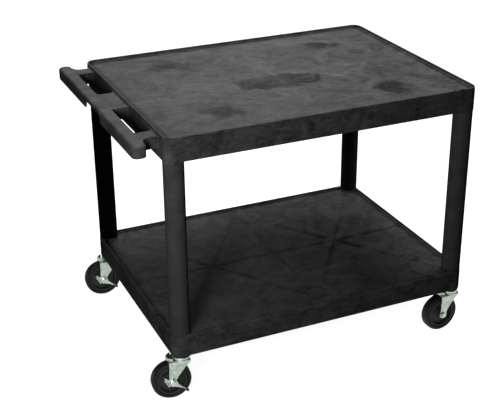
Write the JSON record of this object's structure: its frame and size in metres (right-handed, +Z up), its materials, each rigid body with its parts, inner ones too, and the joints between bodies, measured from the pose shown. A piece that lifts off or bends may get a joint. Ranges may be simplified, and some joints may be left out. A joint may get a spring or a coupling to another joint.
{
  "type": "two-shelf service trolley",
  "caption": "Two-shelf moulded service trolley with round legs, an integral push handle and swivel casters, brakes at the handle end.",
  "frame": {"origin": "on the floor, under the middle of the trolley's overall length and width", "axes": "+X away from the push handle, +Y to the left of someone pushing, +Z up"},
  "size_m": [0.8858, 0.622, 0.682],
  "materials": {
    "shelf_plastic": "moulded structural foam, matte with a faint swirl",
    "leg_plastic": "smooth matte",
    "zinc_steel": "bright zinc plate on pressed steel",
    "bearing_steel": "turned steel, lightly greased",
    "bolt_steel": "zinc plate on forged steel",
    "wheel_rubber": "dull moulded rubber",
    "core_plastic": "moulded, slightly glossy",
    "sleeve_nylon": "natural moulded nylon",
    "tip_vinyl": "dipped vinyl, satin"
  },
  "bodies": {
    "root": {"top_shelf": "shelf_plastic", "bottom_shelf": "shelf_plastic", "leg_rear_right": "leg_plastic", "leg_rear_left": "leg_plastic", "leg_front_right": "leg_plastic", "leg_front_left": "leg_plastic", "socket_sleeve_rear_right": "sleeve_nylon", "caster_stem_rear_right": "zinc_steel", "upper_race_rear_right": "zinc_steel", "socket_sleeve_rear_left": "sleeve_nylon", "caster_stem_rear_left": "zinc_steel", "upper_race_rear_left": "zinc_steel", "socket_sleeve_front_right": "sleeve_nylon", "caster_stem_front_right": "zinc_steel", "upper_race_front_right": "zinc_steel", "socket_sleeve_front_left": "sleeve_nylon", "caster_stem_front_left": "zinc_steel", "upper_race_front_left": "zinc_steel"},
    "swivel_rear_right": {"fork_rear_right": "zinc_steel", "ball_ring_rear_right": "bearing_steel", "axle_sleeve_rear_right": "bearing_steel", "axle_bolt_rear_right": "bolt_steel", "axle_nut_rear_right": "bolt_steel"},
    "wheel_rear_right": {"tyre_rear_right": "wheel_rubber", "wheel_core_rear_right": "core_plastic"},
    "brake_rear_right": {"brake_lever_rear_right": "zinc_steel", "brake_tip_rear_right": "tip_vinyl"},
    "swivel_rear_left": {"fork_rear_left": "zinc_steel", "ball_ring_rear_left": "bearing_steel", "axle_sleeve_rear_left": "bearing_steel", "axle_bolt_rear_left": "bolt_steel", "axle_nut_rear_left": "bolt_steel"},
    "wheel_rear_left": {"tyre_rear_left": "wheel_rubber", "wheel_core_rear_left": "core_plastic"},
    "brake_rear_left": {"brake_lever_rear_left": "zinc_steel", "brake_tip_rear_left": "tip_vinyl"},
    "swivel_front_right": {"fork_front_right": "zinc_steel", "ball_ring_front_right": "bearing_steel", "axle_sleeve_front_right": "bearing_steel", "axle_bolt_front_right": "bolt_steel", "axle_nut_front_right": "bolt_steel"},
    "wheel_front_right": {"tyre_front_right": "wheel_rubber", "wheel_core_front_right": "core_plastic"},
    "swivel_front_left": {"fork_front_left": "zinc_steel", "ball_ring_front_left": "bearing_steel", "axle_sleeve_front_left": "bearing_steel", "axle_bolt_front_left": "bolt_steel", "axle_nut_front_left": "bolt_steel"},
    "wheel_front_left": {"tyre_front_left": "wheel_rubber", "wheel_core_front_left": "core_plastic"}
  },
  "joints": [
    {"name": "swivel_rear_right_turn", "type": "hinge", "parent": "root", "child": "swivel_rear_right", "pos_m": [-0.3445, -0.2794, 0.1], "axis": [0, 0, 1], "continuous": true},
    {"name": "wheel_rear_right_spin", "type": "hinge", "parent": "swivel_rear_right", "child": "wheel_rear_right", "pos_m": [-0.37135, -0.27658, 0.04957], "axis": [0.1045, 0.9945, 0], "continuous": true},
    {"name": "brake_rear_right_press", "type": "hinge", "parent": "swivel_rear_right", "child": "brake_rear_right", "pos_m": [-0.37135, -0.27658, 0.04957], "axis": [-0.1045, -0.9945, 0], "range_deg": [0, 38]},
    {"name": "swivel_rear_left_turn", "type": "hinge", "parent": "root", "child": "swivel_rear_left", "pos_m": [-0.3445, 0.2794, 0.1], "axis": [0, 0, 1], "continuous": true},
    {"name": "wheel_rear_left_spin", "type": "hinge", "parent": "swivel_rear_left", "child": "wheel_rear_left", "pos_m": [-0.37143, 0.28128, 0.04957], "axis": [0.0698, 0.9976, 0], "continuous": true},
    {"name": "brake_rear_left_press", "type": "hinge", "parent": "swivel_rear_left", "child": "brake_rear_left", "pos_m": [-0.37143, 0.28128, 0.04957], "axis": [-0.0698, -0.9976, 0], "range_deg": [0, 38]},
    {"name": "swivel_front_right_turn", "type": "hinge", "parent": "root", "child": "swivel_front_right", "pos_m": [0.4175, -0.2794, 0.1], "axis": [0, 0, 1], "continuous": true},
    {"name": "wheel_front_right_spin", "type": "hinge", "parent": "swivel_front_right", "child": "wheel_front_right", "pos_m": [0.39057, -0.28128, 0.04957], "axis": [-0.0698, 0.9976, 0], "continuous": true},
    {"name": "swivel_front_left_turn", "type": "hinge", "parent": "root", "child": "swivel_front_left", "pos_m": [0.4175, 0.2794, 0.1], "axis": [0, 0, 1], "continuous": true},
    {"name": "wheel_front_left_spin", "type": "hinge", "parent": "swivel_front_left", "child": "wheel_front_left", "pos_m": [0.39052, 0.27846, 0.04957], "axis": [-0.0349, 0.9994, 0], "continuous": true}
  ]
}
